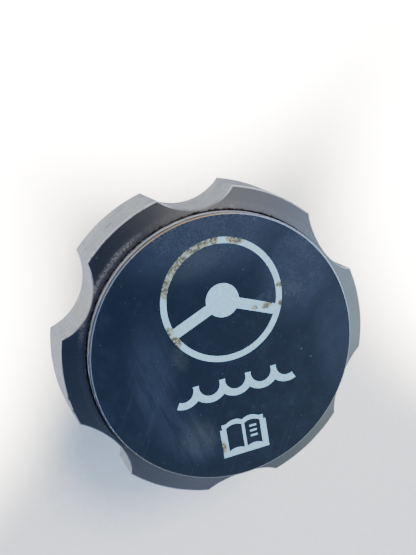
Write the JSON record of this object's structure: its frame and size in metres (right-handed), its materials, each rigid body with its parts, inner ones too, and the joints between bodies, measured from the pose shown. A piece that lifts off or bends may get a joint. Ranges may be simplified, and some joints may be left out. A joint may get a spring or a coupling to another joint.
{
  "type": "reservoir filler cap",
  "caption": "Hand-turned filler cap with a lobed grip, a raised gloss face with inlaid symbols, a threaded plug and a spring-loaded breather valve set.",
  "frame": {"origin": "on the cap's axis, in the plane where the gasket meets the rim of the filler neck", "axes": "+Z along the cap's axis, out of the printed face; +Y towards the top of the printed symbols"},
  "size_m": [0.0744, 0.0718, 0.0385],
  "materials": {
    "grip_plastic": "satin black moulding, worn grey",
    "cover_plastic": "satin, grey with wear",
    "face_gloss": "gloss, fine scratches and haze",
    "symbol_inlay": "pale blue-white inlay, stained in places",
    "body_plastic": "fine moulded grain",
    "rubber": "matte black oil-resistant rubber",
    "filter_foam": "open-cell foam",
    "valve_plastic": "natural acetal",
    "screw_steel": "zinc plated",
    "spring_steel": "bright stainless",
    "brass": "turned"
  },
  "bodies": {
    "cap": {"grip_shell": "grip_plastic", "cover_base": "cover_plastic", "face_disc": "face_gloss", "wheel_symbol": "symbol_inlay", "level_symbol": "symbol_inlay", "manual_symbol": "symbol_inlay", "cap_body": "body_plastic", "grip_screws": "screw_steel", "neck_gasket": "rubber", "breather_filter": "filter_foam", "filter_retainer": "body_plastic", "valve_housing": "valve_plastic", "housing_o_ring": "rubber", "spring_plate": "spring_steel", "pressure_spring": "spring_steel", "strainer_screen": "spring_steel", "splash_baffle": "body_plastic", "retaining_ring": "spring_steel"},
    "pressure_set": {"pressure_valve": "brass", "pressure_seal": "rubber", "vacuum_spring": "spring_steel"},
    "vacuum_set": {"vacuum_valve": "brass", "vacuum_seal": "rubber", "stem_clip": "spring_steel"}
  },
  "joints": [
    {"name": "pressure_valve_lift", "type": "slide", "parent": "cap", "child": "pressure_set", "axis": [0, 0, 1], "range_m": [0, 0.002], "stiffness_N_per_m": 1500, "springref_m": -0.003, "deforming": ["pressure_spring"]},
    {"name": "vacuum_valve_drop", "type": "slide", "parent": "pressure_set", "child": "vacuum_set", "axis": [0, 0, -1], "range_m": [0, 0.0012], "stiffness_N_per_m": 200, "springref_m": -0.0015, "deforming": ["vacuum_spring"]}
  ]
}
